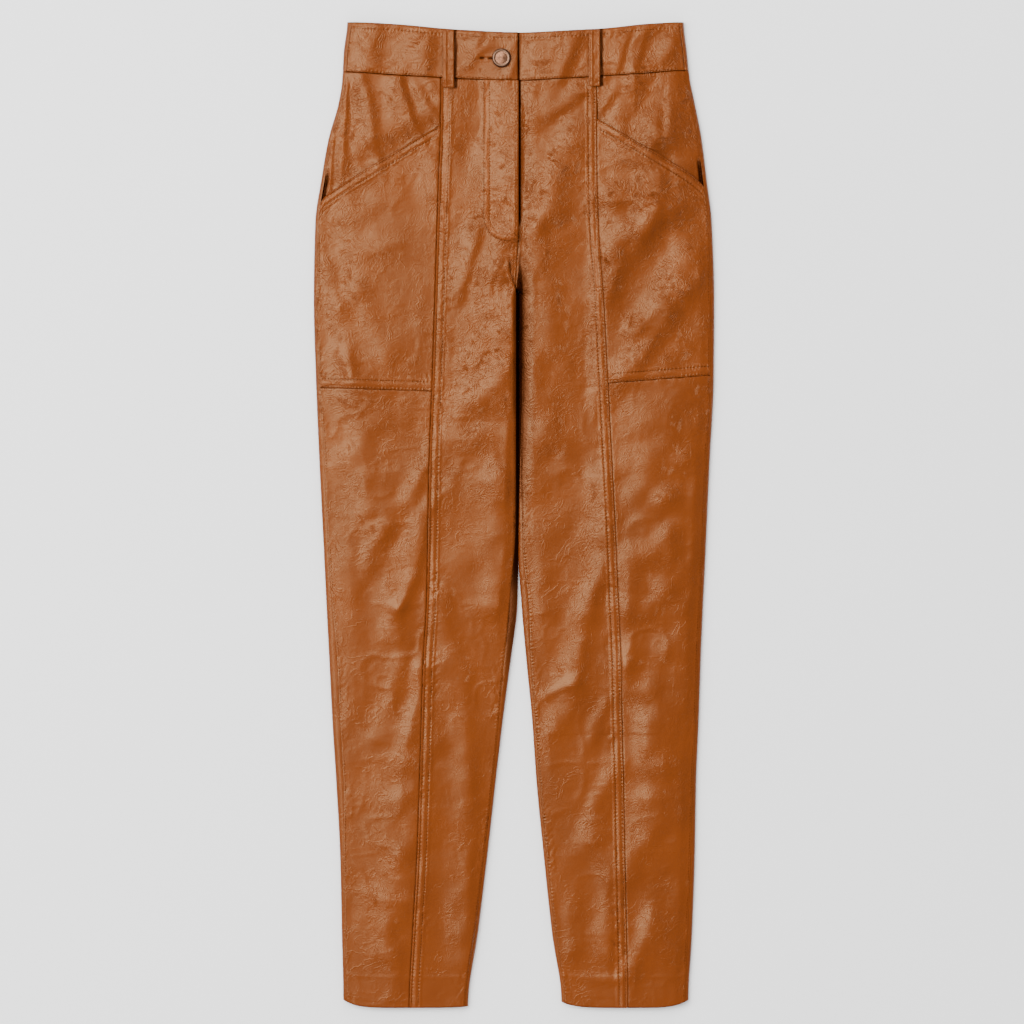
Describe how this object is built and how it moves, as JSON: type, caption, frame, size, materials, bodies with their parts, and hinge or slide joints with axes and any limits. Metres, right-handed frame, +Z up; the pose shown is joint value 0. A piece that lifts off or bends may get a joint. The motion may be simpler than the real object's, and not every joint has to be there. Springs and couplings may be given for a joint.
{
  "type": "faux leather trousers",
  "caption": "High-waisted slim ankle trousers in tan faux leather, laid flat, with a contour waistband, shank button, zip fly, slanted front pockets and long panel seams.",
  "frame": {"origin": "centre of the bounding box's bottom face, on the surface that the trousers lie on", "axes": "+Y along the legs towards the waist, +Z up out of the front, +X towards the wearer's left"},
  "size_m": [0.401, 0.986, 0.0144],
  "materials": {
    "faux_leather": "semi-gloss tan faux leather with a fine crinkled grain",
    "antique_copper": "antique copper, brushed in fine rings and rays",
    "zip_cloth": "woven zip tape, matt"
  },
  "bodies": {
    "root": {"back_right": "faux_leather", "back_left": "faux_leather", "front_centre_right": "faux_leather", "front_centre_left": "faux_leather", "front_side_right": "faux_leather", "front_side_left": "faux_leather", "hip_facing_right": "faux_leather", "hip_facing_left": "faux_leather", "pocket_right": "faux_leather", "pocket_left": "faux_leather", "waistband_front_right": "faux_leather", "waistband_front_left": "faux_leather", "waistband_back": "faux_leather", "belt_loop_front_right": "faux_leather", "belt_loop_front_left": "faux_leather", "belt_loop_back_right": "faux_leather", "belt_loop_back_centre": "faux_leather", "belt_loop_back_left": "faux_leather", "button": "antique_copper", "fly_zip": "zip_cloth"}
  },
  "joints": []
}
